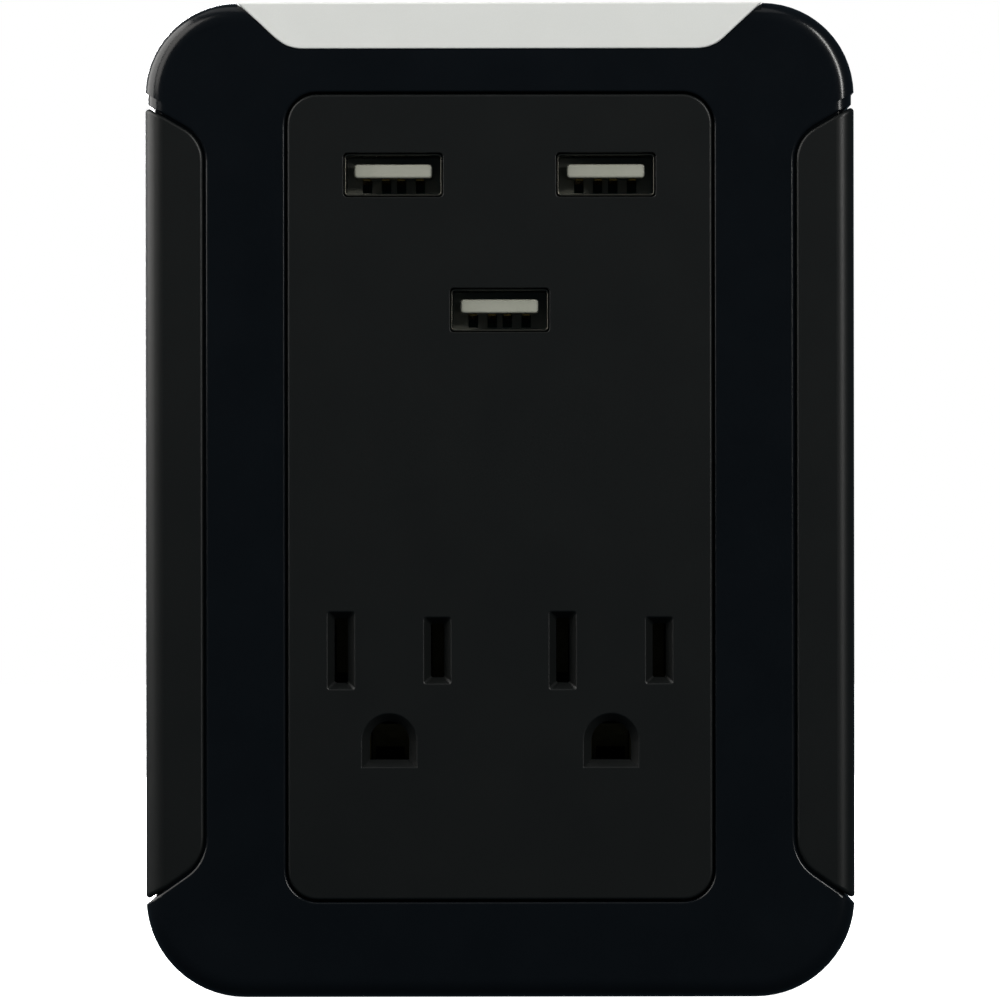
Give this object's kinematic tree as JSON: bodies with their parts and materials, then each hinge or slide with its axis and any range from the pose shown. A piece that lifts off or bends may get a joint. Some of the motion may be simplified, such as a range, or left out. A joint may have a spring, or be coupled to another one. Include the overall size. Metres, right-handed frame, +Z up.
{
  "type": "plug-in surge protector",
  "caption": "Wall-mounted surge protector that plugs straight into a duplex receptacle, with grounded outlets and USB-A charging sockets on its front face.",
  "frame": {"origin": "centre of the flat rear face, which lies against the wall plate", "axes": "+X to the right of a person who faces the front, +Y into the wall, +Z up; the front looks towards -Y"},
  "size_m": [0.0934, 0.0586, 0.131],
  "materials": {
    "bezel_plastic": "satin",
    "panel_plastic": "matte",
    "housing_plastic": "fine moulded texture",
    "silver_trim": "satin metallic",
    "plug_brass": "nickel-flashed",
    "contact_brass": "satin",
    "carrier_plastic": "matte",
    "circuit_board": "satin",
    "ferrite": "matte",
    "winding_tape": "satin",
    "capacitor_sleeve": "gloss",
    "chip_plastic": "matte",
    "varistor_coating": "satin",
    "fuse_body": "satin",
    "film_capacitor": "satin",
    "zinc_steel": "zinc plated",
    "usb_nickel": "bright nickel",
    "usb_white": "satin",
    "usb_gold": "gold flash",
    "black_insulation": "satin",
    "white_insulation": "satin",
    "green_insulation": "satin",
    "red_insulation": "satin"
  },
  "bodies": {
    "root": {"blade_holder": "housing_plastic", "carrier_screws": "zinc_steel", "centre_panel": "panel_plastic", "charge_control_chips": "chip_plastic", "charger_leads": "red_insulation", "contact_carrier": "carrier_plastic", "filter_capacitor": "film_capacitor", "front_bezel": "bezel_plastic", "ground_bus_bar": "contact_brass", "ground_lead": "green_insulation", "ground_pin": "plug_brass", "hot_blade": "plug_brass", "hot_bus_bar": "contact_brass", "hot_lead": "black_insulation", "hot_outlet_lead": "black_insulation", "housing_screws": "zinc_steel", "input_capacitor": "capacitor_sleeve", "locating_pin": "housing_plastic", "neutral_blade": "plug_brass", "neutral_bus_bar": "contact_brass", "neutral_lead": "white_insulation", "neutral_outlet_lead": "white_insulation", "output_capacitors": "capacitor_sleeve", "rear_housing": "housing_plastic", "rectifier": "chip_plastic", "side_panel_left": "panel_plastic", "side_panel_right": "panel_plastic", "surge_board": "circuit_board", "surge_board_screws": "zinc_steel", "thermal_fuse": "fuse_body", "top_insert": "silver_trim", "transformer_core": "ferrite", "transformer_winding": "winding_tape", "usb_board": "circuit_board", "usb_board_screws": "zinc_steel", "usb_contacts_left": "usb_gold", "usb_contacts_middle": "usb_gold", "usb_contacts_right": "usb_gold", "usb_insulator_left": "usb_white", "usb_insulator_middle": "usb_white", "usb_insulator_right": "usb_white", "usb_shell_left": "usb_nickel", "usb_shell_middle": "usb_nickel", "usb_shell_right": "usb_nickel", "varistors": "varistor_coating"}
  },
  "joints": []
}
